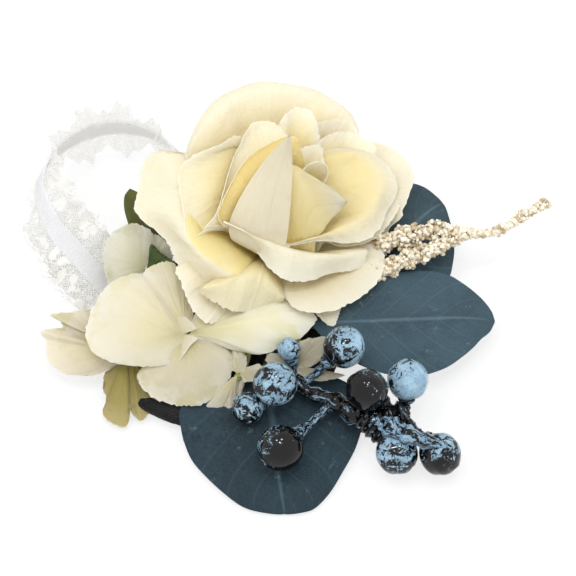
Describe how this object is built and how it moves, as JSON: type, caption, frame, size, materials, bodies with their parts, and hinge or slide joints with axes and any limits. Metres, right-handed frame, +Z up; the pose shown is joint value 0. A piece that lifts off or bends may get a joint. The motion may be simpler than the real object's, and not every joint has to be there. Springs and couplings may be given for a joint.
{
  "type": "wrist corsage",
  "caption": "Artificial rose wrist corsage with hydrangea florets, round leaves, painted berries and a grain sprig on a felt pad, worn on an elastic lace loop that folds down.",
  "frame": {"origin": "middle of the underside of the whole corsage as it lies on a table", "axes": "+Z up from the table, +X to the viewer's right as pictured, +Y away from the viewer"},
  "size_m": [0.1632, 0.1302, 0.0553],
  "materials": {
    "felt": "matte",
    "glue": "satin",
    "tape": "matte",
    "green": "matte",
    "ivory": "matte",
    "floret": "matte",
    "beige": "matte",
    "teal": "matte",
    "berry": "glossy",
    "stem": "satin",
    "grain": "matte",
    "lace": "matte",
    "elastic": "matte"
  },
  "bodies": {
    "flower_head": {"felt_backing_pad": "felt", "taped_stem_bundle": "tape", "glue_bed": "glue", "rose_petal_layer_1": "ivory", "rose_petal_layer_2": "ivory", "rose_petal_layer_3": "ivory", "rose_petal_layer_4": "ivory", "rose_petal_layer_5": "ivory", "rose_bud_core": "ivory", "rose_stem_and_spike": "green", "rose_calyx": "green", "leaf_front": "teal", "leaf_front_wire": "green", "leaf_right": "teal", "leaf_right_wire": "green", "leaf_back": "teal", "leaf_back_wire": "green", "rose_leaf": "green", "rose_leaf_wire": "green", "berry_1": "berry", "berry_2": "berry", "berry_3": "berry", "berry_4": "berry", "berry_5": "berry", "berry_6": "berry", "berry_7": "berry", "berry_8": "berry", "berry_9": "berry", "berry_spray_stem": "stem", "floret_front": "floret", "floret_front_stalk": "green", "floret_left": "floret", "floret_left_stalk": "green", "floret_back": "floret", "floret_back_stalk": "green", "floret_lower": "floret", "floret_lower_stalk": "green", "floret_dried": "beige", "floret_dried_stalk": "green", "sprig_upper_strand": "grain", "sprig_lower_strand": "grain", "band_glued_ends": "lace"},
    "wristlet": {"lace_ruffle": "lace", "wrist_elastic": "elastic"}
  },
  "joints": [
    {"name": "wristlet_swing", "type": "hinge", "parent": "flower_head", "child": "wristlet", "pos_m": [-0.033, 0.01168, 0], "axis": [-0.7986, -0.6018, 0], "range_deg": [0, 95]}
  ]
}
